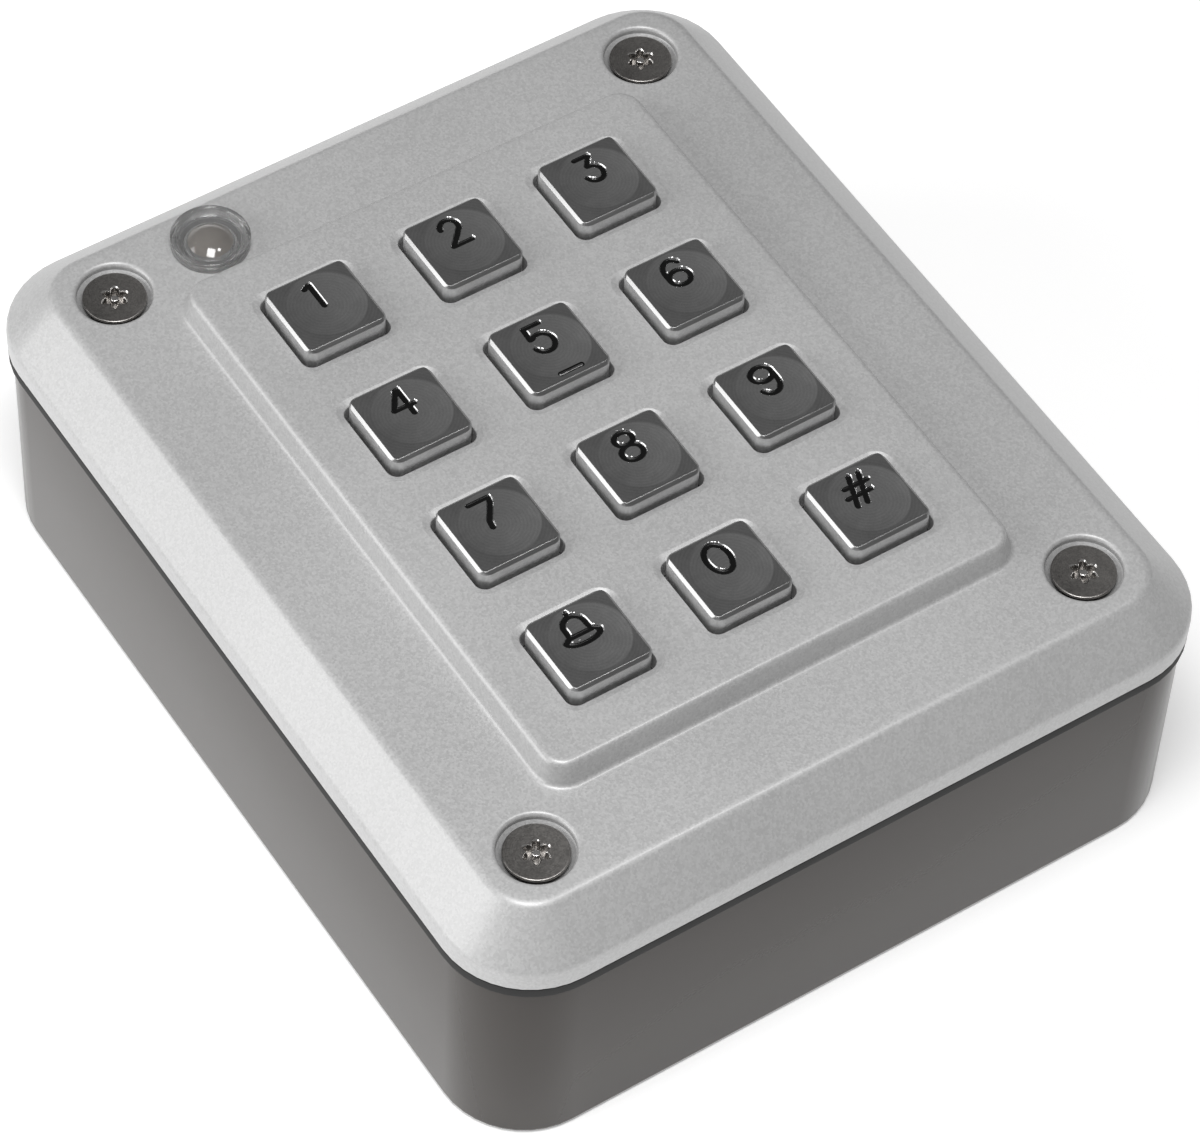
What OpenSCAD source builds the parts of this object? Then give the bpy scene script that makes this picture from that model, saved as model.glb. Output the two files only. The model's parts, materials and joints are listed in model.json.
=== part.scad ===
// Surface-mounted metal keypad reader: cast cover, twelve sprung metal keys, status light and back box.
// The reader lies on its back. +X is its right, +Y its top and +Z points out of the keypad.
// The origin is the centre of the back face.

/* [Keypad] */
// Distance between key centres, across and along
key_pitch = 19; // [18:0.5:26]
// Side of a key at its foot
key_size = 11; // [9:0.25:13.5]
// Height of a key above the raised panel
key_proud = 1.8; // [1.6:0.1:2.5]
// How far a key travels inward
key_travel = 1.2; // [0.8:0.1:1.6]
// Width of the bevel round a key's top
key_bevel = 0.5; // [0.3:0.1:0.8]
// Gap between a key and its opening
key_gap = 0.45; // [0.3:0.05:0.6]
// Distance from the outer key centres to the edge of the raised panel
panel_margin = 12.3; // [11:0.1:16]
// Height of the raised panel above the border
panel_rise = 3.2; // [2:0.1:5]
// How far the foot of the raised panel stands out past its edge
panel_slope = 0.9; // [0.3:0.1:1.5]

/* [Cover] */
// Width of the border beside the raised panel
side_border = 18.7; // [15:0.1:30]
// Width of the border above and below the raised panel
end_border = 18.2; // [15:0.1:30]
// Radius of the cover's corners
cover_corner = 11.3; // [8:0.1:14]
// Height of the upright lip at the cover's foot
cover_lip = 2.95; // [2:0.05:5]
// Width and height of the bevel round the cover
cover_bevel = 5.65; // [3:0.05:7]
// Thickness of the cover's top
plate_t = 3; // [2.5:0.1:4]

/* [Back box] */
// Depth of the back box, from the wall to its rim
box_depth = 30.2; // [25:0.1:60]
// Thickness of the box's walls
box_wall = 2.5; // [2:0.1:3]
// Thickness of the box's floor
floor_t = 3; // [3:0.1:5]
// How far the box stands back from the cover's edge
box_inset = 0.6; // [0.3:0.1:2]
// Thickness of the seal between box and cover
gasket_t = 0.65; // [0.5:0.05:1.5]

/* [Fixings] */
// Distance of the cover screws from the cover's side edges
screw_inset_x = 12.75; // [12:0.05:15]
// Distance of the cover screws from the cover's end edges
screw_inset_y = 12.4; // [12:0.05:15]
// Distance between the wall screw holes, across
wall_hole_x = 50; // [30:1:56]
// Distance between the wall screw holes, along
wall_hole_y = 80; // [40:1:86]
// Diameter of the wall screw holes
wall_hole_d = 4.8; // [3.5:0.1:6]
// Diameter of the cable hole in the grommet
cable_d = 7; // [4:0.5:10]

/* [Status light] */
// Diameter of the lens above the cover
lens_d = 9.7; // [8.5:0.1:11]
// Height of the lens above the border
lens_proud = 1.5; // [0.8:0.1:2.5]

/* [Fits] */
// Radial clearance of a key's stem in its guide hole
stem_fit = 0.05; // [0.02:0.01:0.1]
// Clearance between pieces that pass without touching
loose = 0.3; // [0.2:0.05:0.5]
// Radial clearance of screws and pressed-in pieces
screw_fit = 0.05; // [0.02:0.01:0.1]

/* [Hidden] */
$fn = 48;
// How far a cut runs past the face it opens
over = 1;
COLS = 3;
ROWS = 4;
KEY_NAMES = ["1", "2", "3", "4", "5", "6", "7", "8", "9", "bell", "0", "hash"];

// Outlines, seen from the front
panel_w = (COLS - 1) * key_pitch + 2 * panel_margin;
panel_h = (ROWS - 1) * key_pitch + 2 * panel_margin;
cover_w = panel_w + 2 * side_border;
cover_h = panel_h + 2 * end_border;
box_w = cover_w - 2 * box_inset;
box_h = cover_h - 2 * box_inset;
box_corner = cover_corner - box_inset;
panel_corner = 2.8;
panel_root = 1;
screw_x = cover_w / 2 - screw_inset_x;
screw_y = cover_h / 2 - screw_inset_y;
pillar_r = 5;
pillar_gap = 1;

// Heights above the wall
cover_z = box_depth + gasket_t;
border_z = cover_z + cover_lip + cover_bevel;
panel_z = border_z + panel_rise;
key_z = panel_z + key_proud;
border_under = border_z - plate_t;
panel_under = panel_z - plate_t;

// Keys, their springs and guide plate
flange_t = 1;
flange_edge = 0.8;
flange_size = key_size + 2 * key_gap + 2 * flange_edge;
key_corner = 1.5;
flange_z = panel_under - loose - flange_t;
spring_len = 4.2;
spring_gap = 0.03;
guide_t = 2;
guide_z = flange_z - spring_len - guide_t;
stem_r = 2;
stem_tip = 1;
pill_t = 1.2;
contact_gap = 0.1;
pad_t = 0.1;
pad_r = 2.6;
pad_split = 0.5;
wire_r = 0.25;
coil_r = 3.1;
coil_turns = 3.5;
coil_steps = 16;
coil_sides = 6;

// Boards
board_t = 1.6;
pad_top = guide_z - stem_tip - pill_t - key_travel - contact_gap;
upper_z = pad_top - pad_t - board_t;
tall_part = 12;
floor_gap = 2;
lower_z = floor_t + floor_gap + tall_part;
board_edge = 3.9;
board_short = 0.3;
board_w = panel_w + 2 * board_edge;
board_h = min(panel_h - 2 * board_short, 2 * (screw_y - pillar_r - pillar_gap));
board_corner = 2;
board_screw_x = board_w / 2 - 2.2;
board_screw_y = board_h / 2 - 4.5;
board_screw_r = 1.2;
board_hole_r = 1.4;
board_head_r = 2.5;
board_head_t = 1.6;
board_drive_w = 2.8;
board_drive_t = 0.6;
board_drive_deep = 0.8;
post_r = 2.9;
boss_deep = 1.6;
boss_spare = 0.4;

// Cover screws, their inserts and the pillars that hold them
screw_r = 2;
head_r = 3.85;
head_rim = 0.3;
head_sink = 0.66;
recess_r = 4.55;
screw_hole_r = 2.3;
screw_len = 16;
drive_r = 1.45;
drive_deep = 1.5;
drive_pin_r = 0.55;
drive_pin_low = 0.2;
drive_lobes = 6;
lobe_share = 0.35;
insert_r = 2.8;
insert_len = 8;
pillar_drop = 0.2;
insert_z = box_depth - pillar_drop - insert_len;

// Inside of the cover
cover_wall = 5;
cavity_w = cover_w - 2 * cover_wall;
cavity_h = cover_h - 2 * cover_wall;
cavity_corner = cover_corner - cover_wall;
panel_wall = 2.4;
pocket_corner = 2;
seal_edge = 0.4;

// Status light, in the middle of the upper border
strip_low = panel_h / 2 + panel_slope;
strip_high = cover_h / 2 - cover_bevel;
lens_margin = 0.5;
lens_from_edge = 7.75;
lens_r = min(lens_d, strip_high - strip_low - 2 * lens_margin) / 2;
lens_x = -(panel_w / 2 - lens_from_edge);
lens_y = (strip_low + strip_high) / 2;
lens_rim = 0.7;
lens_dish = 0.5;
lens_collar = 1.05;
lens_wall = 0.6;
lens_tail_r = lens_r - lens_collar;
lens_tail = plate_t + 1;
led_r = min(2.5, lens_tail_r - lens_wall - loose);
led_rim = 0.4;
led_foot_t = 1;
led_rise = 0.5;
led_stand = 2;
led_top = border_z + led_rise;
led_base = upper_z + board_t + led_stand;
lead_r = 0.25;
lead_space = 1.27;
lead_out = 0.6;
seal_r = 0.28;
seal_slack = 0.02;
seal_ring = lens_tail_r + 0.45;
tab_x = min(7.5, screw_x - pillar_r - pillar_gap + lens_x);
tab_y = cavity_h / 2 - 1.5;

// Cable entry
cable_y = -12;
grommet_neck = 8;
grommet_flange = 10;
grommet_lip = 1;
grommet_inner_t = 1.6;
grommet_back = 0.1;

// Parts on the lower board
terminal_ways = 8;
terminal_pitch = 5;
terminal_deep = 8;
terminal_tall = 10;
terminal_wall = 0.3;
terminal_edge = 11;
terminal_y = -(board_h / 2 - terminal_edge);
terminal_off = 0.5;
well_r = 1.7;
well_deep = 4;
wire_w = 3;
wire_up = 5;
terminal_screw_r = 1.6;
terminal_screw_t = 2;
terminal_slot_w = 0.5;
terminal_slot_deep = 0.8;
plug_x = 14;
plug_y = 5;
plug_edge = 8;
plug_at = board_h / 2 - plug_edge;
tongue_x = 10;
tongue_y = 1.6;
board_gap = upper_z - lower_z - board_t;
plug_share = 0.35;
plug_t = board_gap * plug_share;
plug_fit = 0.1;
tongue_len = 0.3 * board_gap;

function key_x(i) = (i % COLS - (COLS - 1) / 2) * key_pitch;
function key_y(i) = ((ROWS - 1) / 2 - floor(i / COLS)) * key_pitch;

// One child at each of the four corners of a rectangle
module at_corners(x, y) {
    for (sx = [-1, 1], sy = [-1, 1])
        translate([sx * x, sy * y, 0])
            children();
}

// One child at each key's centre
module at_keys() {
    for (i = [0:len(KEY_NAMES) - 1])
        translate([key_x(i), key_y(i), 0])
            children();
}

// Rounded rectangle, drawn flat
module round_rect(w, h, r) {
    square([w - 2 * r, h], center = true);
    square([w, h - 2 * r], center = true);
    for (sx = [-1, 1], sy = [-1, 1])
        translate([sx * (w / 2 - r), sy * (h / 2 - r)])
            circle(r = r);
}

// Upright block with rounded corners
module round_block(w, h, r, z, t) {
    translate([0, 0, z])
        linear_extrude(t)
            round_rect(w, h, r);
}

// Block with rounded corners whose sides follow an edge outline: points of [distance past the corner
// centres, height], the first and last of them at distance 0
module edged_block(w, h, r, outline) {
    side_x = w - 2 * r;
    side_y = h - 2 * r;
    low = outline[0][1];
    high = outline[len(outline) - 1][1];
    translate([-side_x / 2, -side_y / 2, low])
        cube([side_x, side_y, high - low]);
    for (turn = [0, 180]) {
        rotate([0, 0, turn])
            translate([side_x / 2, side_y / 2, 0])
                rotate([90, 0, 0])
                    linear_extrude(side_y)
                        polygon(outline);
        rotate([0, 0, turn + 90])
            translate([side_y / 2, side_x / 2, 0])
                rotate([90, 0, 0])
                    linear_extrude(side_x)
                        polygon(outline);
    }
    for (corner = [[1, 1, 0], [-1, 1, 90], [-1, -1, 180], [1, -1, 270]])
        translate([corner[0] * side_x / 2, corner[1] * side_y / 2, 0])
            rotate([0, 0, corner[2]])
                rotate_extrude(angle = 90)
                    polygon(outline);
}

module hole(r, z, t) {
    translate([0, 0, z])
        cylinder(r = r, h = t);
}

module tube(r_out, r_in, z, t) {
    difference() {
        hole(r_out, z, t);
        hole(r_in, z - over, t + 2 * over);
    }
}

// Flat block lying on a board's underside
module hanging_block(x, y, w, d, t) {
    translate([x - w / 2, y - d / 2, lower_z - t])
        cube([w, d, t]);
}

// Cast cover: upright lip, bevelled edge, flat border and raised panel with twelve key openings
module front_cover() {
    r = cover_corner;
    foot = panel_corner + panel_slope;
    color("silver")
        difference() {
            union() {
                edged_block(cover_w, cover_h, r, [
                    [0, cover_z], [r, cover_z], [r, cover_z + cover_lip],
                    [r - cover_bevel, border_z], [0, border_z]
                ]);
                edged_block(panel_w + 2 * panel_slope, panel_h + 2 * panel_slope, foot, [
                    [0, border_z - panel_root], [foot, border_z - panel_root], [foot, border_z],
                    [panel_corner, panel_z], [0, panel_z]
                ]);
            }
            difference() {
                round_block(cavity_w, cavity_h, cavity_corner, cover_z - over, border_under - cover_z + over);
                at_corners(screw_x, screw_y)
                    hole(pillar_r, cover_z - 2 * over, border_z);
                at_corners(board_screw_x, board_screw_y)
                    hole(post_r, guide_z + guide_t, border_z);
            }
            round_block(
                panel_w - 2 * panel_wall, panel_h - 2 * panel_wall, pocket_corner,
                border_under - over, panel_under - border_under + over
            );
            at_keys()
                round_block(
                    key_size + 2 * key_gap, key_size + 2 * key_gap, key_corner + key_gap,
                    panel_under - over, plate_t + 2 * over
                );
            at_corners(screw_x, screw_y) {
                hole(screw_hole_r, cover_z - over, panel_z);
                hole(recess_r, border_z - head_sink - head_rim, plate_t);
                translate([0, 0, border_z - head_sink - head_rim - (recess_r - screw_hole_r)])
                    cylinder(r1 = screw_hole_r, r2 = recess_r, h = recess_r - screw_hole_r);
            }
            at_corners(board_screw_x, board_screw_y)
                hole(board_screw_r + screw_fit, guide_z, border_under + boss_deep - guide_z);
            translate([lens_x, lens_y, 0]) {
                hole(lens_tail_r + screw_fit, border_under - over, plate_t + 2 * over);
                hole(seal_ring + seal_r + seal_slack, border_z - 2 * seal_r - seal_slack, over);
            }
        }
}

// Back box: floor with wall holes and cable entry, four pillars for the cover screws
module back_box() {
    color([0.33, 0.31, 0.32])
        difference() {
            union() {
                difference() {
                    round_block(box_w, box_h, box_corner, 0, box_depth);
                    round_block(
                        box_w - 2 * box_wall, box_h - 2 * box_wall, box_corner - box_wall, floor_t, box_depth
                    );
                }
                at_corners(screw_x, screw_y)
                    hole(pillar_r, floor_t - over, box_depth - pillar_drop - floor_t + over);
            }
            at_corners(screw_x, screw_y)
                hole(insert_r + screw_fit, insert_z, insert_len + over);
            at_corners(screw_x, screw_y)
                hole(screw_r + loose, floor_t + over, insert_z - floor_t);
            at_corners(wall_hole_x / 2, wall_hole_y / 2)
                hole(wall_hole_d / 2, -over, floor_t + 2 * over);
            translate([0, cable_y, 0]) {
                hole(grommet_neck + screw_fit, -over, floor_t + 2 * over);
                hole(grommet_flange + loose, -over, grommet_lip + over);
            }
        }
}

// Rubber seal between the box's rim and the cover
module cover_gasket() {
    color([0.08, 0.08, 0.08])
        difference() {
            round_block(
                box_w - 2 * seal_edge, box_h - 2 * seal_edge, box_corner - seal_edge, box_depth, gasket_t
            );
            round_block(
                box_w - 2 * box_wall, box_h - 2 * box_wall, box_corner - box_wall,
                box_depth - over, gasket_t + 2 * over
            );
        }
}

// Security screw with a countersunk head and a six-lobed recess round a centre pin
module cover_screw() {
    head_z = border_z - head_sink;
    cone_h = head_r - screw_r;
    difference() {
        union() {
            hole(head_r, head_z - head_rim, head_rim);
            translate([0, 0, head_z - head_rim - cone_h])
                cylinder(r1 = screw_r, r2 = head_r, h = cone_h);
            hole(screw_r - screw_fit, head_z - screw_len, screw_len - head_rim);
        }
        difference() {
            union() {
                hole(drive_r, head_z - drive_deep, drive_deep + over);
                for (turn = [0:360 / drive_lobes:359])
                    rotate([0, 0, turn])
                        translate([drive_r, 0, 0])
                            hole(drive_r * lobe_share, head_z - drive_deep, drive_deep + over);
            }
            hole(drive_pin_r, head_z - drive_deep - over, drive_deep + over - drive_pin_low);
        }
    }
}

module cover_screws() {
    color([0.25, 0.25, 0.26])
        at_corners(screw_x, screw_y)
            cover_screw();
}

module threaded_inserts() {
    color("goldenrod")
        at_corners(screw_x, screw_y)
            tube(insert_r, screw_r, insert_z, insert_len);
}

// Rubber grommet that grips the edge of the cable hole
module cable_grommet() {
    color([0.1, 0.1, 0.1])
        translate([0, cable_y, 0])
            difference() {
                union() {
                    hole(grommet_flange, grommet_back, grommet_lip - grommet_back);
                    hole(grommet_neck, grommet_lip / 2, floor_t);
                    hole(grommet_flange, floor_t, grommet_inner_t);
                }
                hole(cable_d / 2, -over, floor_t + grommet_inner_t + 2 * over);
            }
}

// Clear lens with a raised rim, hollow below for the light
module led_lens() {
    tail_z = border_z - lens_tail;
    color([0.85, 0.9, 0.92, 0.5])
        translate([lens_x, lens_y, 0])
            difference() {
                union() {
                    hole(lens_r, border_z, lens_proud);
                    hole(lens_tail_r, tail_z, lens_tail + lens_proud / 2);
                }
                hole(lens_r - lens_rim, border_z + lens_proud - lens_dish, lens_dish + over);
                hole(led_r + loose, tail_z - over, led_top - led_r - tail_z + over);
                translate([0, 0, led_top - led_r])
                    sphere(r = led_r + loose);
            }
}

module lens_seal() {
    color([0.1, 0.1, 0.1])
        translate([lens_x, lens_y, border_z - seal_r])
            rotate_extrude()
                translate([seal_ring, 0])
                    circle(r = seal_r);
}

// Round-nosed light that stands up inside the lens
module status_led() {
    color([0.9, 0.9, 0.85])
        translate([lens_x, lens_y, 0]) {
            hole(led_r + led_rim, led_base, led_foot_t);
            hole(led_r, led_base, led_top - led_r - led_base);
            translate([0, 0, led_top - led_r])
                sphere(r = led_r);
        }
}

module led_leads() {
    color("silver")
        for (side = [-1, 1])
            translate([lens_x + side * lead_space, lens_y, 0])
                hole(lead_r, upper_z - lead_out, led_base - upper_z + lead_out);
}

// Plate that guides the key stems, with a post at each board screw
module key_guide_plate() {
    color([0.18, 0.19, 0.2])
        difference() {
            union() {
                round_block(board_w, board_h, board_corner, guide_z, guide_t);
                at_corners(board_screw_x, board_screw_y)
                    hole(post_r, upper_z + board_t, guide_z - upper_z - board_t + guide_t / 2);
            }
            at_corners(board_screw_x, board_screw_y)
                hole(board_hole_r, upper_z, border_z);
            at_keys()
                hole(stem_r + stem_fit, guide_z - over, guide_t + 2 * over);
        }
}

// Board under the keys, with a tab for the status light
module keypad_board() {
    color([0.05, 0.3, 0.16])
        difference() {
            union() {
                round_block(board_w, board_h, board_corner, upper_z, board_t);
                translate([lens_x - tab_x, 0, upper_z])
                    cube([2 * tab_x, tab_y, board_t]);
            }
            at_corners(board_screw_x, board_screw_y)
                hole(board_hole_r, upper_z - over, board_t + 2 * over);
            for (side = [-1, 1])
                translate([lens_x + side * lead_space, lens_y, 0])
                    hole(lead_r + screw_fit, upper_z - over, board_t + 2 * over);
        }
}

// Gold contact pads, a pair of half discs under each key
module contact_pads() {
    color("gold")
        at_keys()
            difference() {
                hole(pad_r, upper_z + board_t, pad_t);
                translate([-pad_split / 2, -pad_r - over, upper_z])
                    cube([pad_split, 2 * (pad_r + over), board_t + over]);
            }
}

// Board that carries the terminals and the electronics
module control_board() {
    color([0.05, 0.3, 0.16])
        difference() {
            round_block(board_w, board_h, board_corner, lower_z, board_t);
            at_corners(board_screw_x, board_screw_y)
                hole(board_hole_r, lower_z - over, board_t + 2 * over);
        }
}

module board_spacers() {
    color("silver")
        at_corners(board_screw_x, board_screw_y)
            tube(post_r, board_hole_r, lower_z + board_t, board_gap);
}

// Long screws that hold both boards and the guide plate to the cover
module board_screws() {
    shank_top = border_under + boss_deep - boss_spare;
    color("silver")
        at_corners(board_screw_x, board_screw_y)
            difference() {
                union() {
                    hole(board_head_r, lower_z - board_head_t, board_head_t);
                    hole(board_screw_r, lower_z - board_head_t / 2, shank_top - lower_z + board_head_t / 2);
                }
                for (turn = [0, 90])
                    rotate([0, 0, turn])
                        translate([-board_drive_w / 2, -board_drive_t / 2, lower_z - board_head_t - over])
                            cube([board_drive_w, board_drive_t, board_drive_deep + over]);
            }
}

// Plug under the keypad board
module board_plug() {
    color([0.9, 0.88, 0.8])
        translate([0, plug_at, 0]) {
            translate([-plug_x / 2, -plug_y / 2, upper_z - plug_t])
                cube([plug_x, plug_y, plug_t]);
            translate([-tongue_x / 2, -tongue_y / 2, upper_z - plug_t - tongue_len])
                cube([tongue_x, tongue_y, tongue_len + plug_t / 2]);
        }
}

// Socket on the control board that the plug's tongue enters
module board_socket() {
    top = upper_z - plug_t - plug_fit;
    color([0.12, 0.12, 0.12])
        translate([0, plug_at, 0])
            difference() {
                translate([-plug_x / 2, -plug_y / 2, lower_z + board_t])
                    cube([plug_x, plug_y, top - lower_z - board_t]);
                translate([-tongue_x / 2 - plug_fit, -tongue_y / 2 - plug_fit, top - tongue_len - plug_fit])
                    cube([tongue_x + 2 * plug_fit, tongue_y + 2 * plug_fit, tongue_len + over]);
            }
}

// One child at each terminal, on the face that the screws are turned from
module at_terminals() {
    for (i = [0:terminal_ways - 1])
        translate([
            (i - (terminal_ways - 1) / 2) * terminal_pitch, terminal_y + terminal_off, lower_z - terminal_tall
        ])
            children();
}

// Block of screw terminals, with wire openings towards the bottom of the reader
module terminal_block() {
    w = terminal_ways * terminal_pitch + 2 * terminal_wall;
    color([0.1, 0.35, 0.2])
        difference() {
            hanging_block(0, terminal_y, w, terminal_deep, terminal_tall);
            at_terminals() {
                hole(well_r, -over, well_deep + over);
                translate([-wire_w / 2, -terminal_deep, wire_up])
                    cube([wire_w, terminal_deep, wire_w]);
            }
        }
}

module terminal_screws() {
    color("silver")
        at_terminals()
            translate([0, 0, well_deep - terminal_screw_t])
                difference() {
                    hole(terminal_screw_r, 0, terminal_screw_t);
                    translate([-terminal_screw_r - over, -terminal_slot_w / 2, -over])
                        cube([2 * (terminal_screw_r + over), terminal_slot_w, terminal_slot_deep + over]);
                }
}

module relay() {
    color([0.1, 0.2, 0.45])
        hanging_block(18, 14, 20, 10.5, tall_part);
}

// Round sounder with a small outlet
module buzzer() {
    color([0.08, 0.08, 0.08])
        translate([-20, 14, 0])
            difference() {
                hole(6, lower_z - 8.5, 8.5);
                hole(1, lower_z - 9, 2);
            }
}

module control_chips() {
    color([0.12, 0.12, 0.13]) {
        hanging_block(-3, 2, 10, 10, 1.4);
        hanging_block(22, -6, 5, 4, 1.5);
        hanging_block(-22, -6, 6.5, 3.5, 1.8);
    }
}

// Light sensor that sees the wall when the reader is pulled off it
module tamper_sensor() {
    color([0.15, 0.15, 0.17]) {
        hanging_block(26, 30, 5, 5, 3);
        translate([26, 30, lower_z - 3])
            sphere(r = 1.5);
    }
}

// Metal key: bevelled cap, flange that holds it under the panel, and a guided stem
module key(i) {
    color([0.78, 0.78, 0.78])
        translate([key_x(i), key_y(i), 0]) {
            edged_block(key_size, key_size, key_corner, [
                [0, flange_z + flange_t / 2],
                [key_corner, flange_z + flange_t / 2],
                [key_corner, key_z - key_bevel],
                [key_corner - key_bevel, key_z],
                [0, key_z]
            ]);
            round_block(flange_size, flange_size, key_corner + flange_edge, flange_z, flange_t);
            hole(stem_r, guide_z - stem_tip, flange_z - guide_z + stem_tip + flange_t / 2);
        }
}

// Coil spring round a key's stem: rings of points along a helix, joined and closed at both ends
module key_spring(i) {
    low = guide_z + guide_t + wire_r + spring_gap;
    rise = spring_len - 2 * (wire_r + spring_gap);
    steps = coil_turns * coil_steps;
    points = [
        for (s = [0:steps], c = [0:coil_sides - 1])
            let (turn = s / coil_steps * 360, around = c / coil_sides * 360)
                [
                    (coil_r + wire_r * cos(around)) * cos(turn),
                    (coil_r + wire_r * cos(around)) * sin(turn),
                    low + rise * s / steps + wire_r * sin(around)
                ]
    ];
    sides = [
        for (s = [0:steps - 1], c = [0:coil_sides - 1])
            let (a = s * coil_sides + c, b = s * coil_sides + (c + 1) % coil_sides)
                [a, b, b + coil_sides, a + coil_sides]
    ];
    start = [[for (c = [coil_sides - 1:-1:0]) c]];
    end = [[for (c = [0:coil_sides - 1]) steps * coil_sides + c]];
    color("gray")
        translate([key_x(i), key_y(i), 0])
            polyhedron(points = points, faces = concat(sides, start, end));
}

// Conductive rubber pill under a key's stem
module contact_pill(i) {
    color([0.05, 0.05, 0.05])
        translate([key_x(i), key_y(i), 0])
            hole(stem_r, guide_z - stem_tip - pill_t, pill_t);
}

front_cover();
back_box();
cover_gasket();
cover_screws();
threaded_inserts();
cable_grommet();
led_lens();
lens_seal();
status_led();
led_leads();
key_guide_plate();
keypad_board();
contact_pads();
control_board();
board_spacers();
board_screws();
board_plug();
board_socket();
terminal_block();
terminal_screws();
relay();
buzzer();
control_chips();
tamper_sensor();
for (i = [0:len(KEY_NAMES) - 1]) {
    key(i);
    key_spring(i);
    contact_pill(i);
}
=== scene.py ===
# %% [markdown]
# # A metal door keypad, lying on its back
# The reader has a cast cover with a sand-textured silver paint, twelve polished metal keys, a clear status
# light, four dark security screws and a deep dark grey back box. It lies on its back on a pale floor. X
# runs to its right, Y to its top and Z out of its keys. This lesson loads the frame, sets the camera and
# the light, makes the finishes, and then builds each visible piece over the frame.

# %% Load the frame
import json
import math

import bmesh
import bpy
from mathutils import Matrix, Vector, kdtree
from mathutils.geometry import tessellate_polygon


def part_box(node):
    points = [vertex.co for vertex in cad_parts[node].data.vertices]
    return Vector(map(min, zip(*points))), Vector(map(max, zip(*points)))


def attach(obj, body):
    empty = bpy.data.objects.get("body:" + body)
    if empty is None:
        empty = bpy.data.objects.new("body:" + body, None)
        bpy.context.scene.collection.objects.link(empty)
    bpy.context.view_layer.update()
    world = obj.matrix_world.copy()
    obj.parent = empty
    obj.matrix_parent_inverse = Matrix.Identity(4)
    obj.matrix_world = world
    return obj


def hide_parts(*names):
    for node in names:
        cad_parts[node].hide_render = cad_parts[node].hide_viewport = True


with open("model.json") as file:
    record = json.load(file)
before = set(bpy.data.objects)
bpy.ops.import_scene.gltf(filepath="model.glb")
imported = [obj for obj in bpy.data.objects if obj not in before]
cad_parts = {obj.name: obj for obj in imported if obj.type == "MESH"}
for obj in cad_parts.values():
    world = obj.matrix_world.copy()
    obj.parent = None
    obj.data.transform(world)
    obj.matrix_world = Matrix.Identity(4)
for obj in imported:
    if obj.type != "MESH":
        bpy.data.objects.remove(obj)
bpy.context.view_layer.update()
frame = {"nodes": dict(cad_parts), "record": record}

scene = bpy.context.scene

# %% [markdown]
# ## Where things are
# All shapes below are drawn in millimetres, which suits a thing of this size, and are turned into metres
# when a mesh is made. Places come from the frame's own boxes, so nothing has to be fitted afterwards.

# %% Measures from the frame
MM = 0.001


def box_mm(node):
    """Lowest and highest corner of a node, in millimetres."""
    low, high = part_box(node)
    return Vector(low) / MM, Vector(high) / MM


def middle(node):
    """Centre of a node, in millimetres."""
    low, high = box_mm(node)
    return (low + high) / 2


KEYS = ["1", "2", "3", "4", "5", "6", "7", "8", "9", "bell", "0", "hash"]
cover_low, cover_high = box_mm("front_cover")
seam_z, panel_z = cover_low.z, cover_high.z
key_z = box_mm("key_5")[1].z
key_at = {name: middle("key_" + name).xy for name in KEYS}
print(f"cover {2 * cover_high.x:.1f} x {2 * cover_high.y:.1f} mm, keys stand {key_z - panel_z:.2f} mm proud")

# %% [markdown]
# ## Camera
# A small thing is best seen through a long lens from well back, which keeps its far edges nearly parallel.
# A short lens close by would fill the frame as well, but the near corner would loom. The camera stands off
# the reader's lower left corner, looks down at it, and is rolled by a few degrees.

# %% Place the camera
SENSOR = 36.0
LENS = 158.8
CAMERA_AZIMUTH, CAMERA_ELEVATION, CAMERA_ROLL = -35.53, 52.59, 3.34
CAMERA_DISTANCE = 622.99
CAMERA_TARGET = Vector((-3.83, -8.66, 24.84))


def direction(azimuth, elevation):
    """Unit vector from the object towards a viewer at that azimuth and elevation, in degrees."""
    a, e = math.radians(azimuth), math.radians(elevation)
    return Vector((math.sin(a) * math.cos(e), -math.cos(a) * math.cos(e), math.sin(e)))


def aim(obj, place, target, roll=0.0):
    """Puts a camera or light at a place, in millimetres, looking at the target."""
    back = (place - target).normalized()
    right = Vector((0, 0, 1)).cross(back).normalized()
    turn = Matrix.Rotation(math.radians(roll), 3, back)
    right = turn @ right
    up = back.cross(right)
    obj.matrix_world = Matrix.Translation(place * MM) @ Matrix((right, up, back)).transposed().to_4x4()


camera_data = bpy.data.cameras.new("camera")
camera_data.sensor_width = SENSOR
camera_data.lens = LENS
camera_data.clip_start = 0.01
camera = bpy.data.objects.new("camera", camera_data)
scene.collection.objects.link(camera)
camera_place = CAMERA_TARGET + CAMERA_DISTANCE * direction(CAMERA_AZIMUTH, CAMERA_ELEVATION)
aim(camera, camera_place, CAMERA_TARGET, CAMERA_ROLL)
scene.camera = camera
print("camera at", [round(v) for v in camera_place], "mm")

# %% [markdown]
# ## Light
# One large soft box stands low on the reader's left. It makes the left bevel the brightest face, leaves the
# lower side dark, and stays out of what the flat key tops reflect, so that the bare metal reads as dark. A
# smaller soft box almost overhead lights the flat faces, and a small lamp to the right of it draws the thin
# lines on the keys' lower edges and on the lips of the openings. The sky is a dim grey that fills the
# shadows.

# %% Soft boxes and sky
LIGHT_TARGET = Vector((0, 0, 30))


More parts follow.
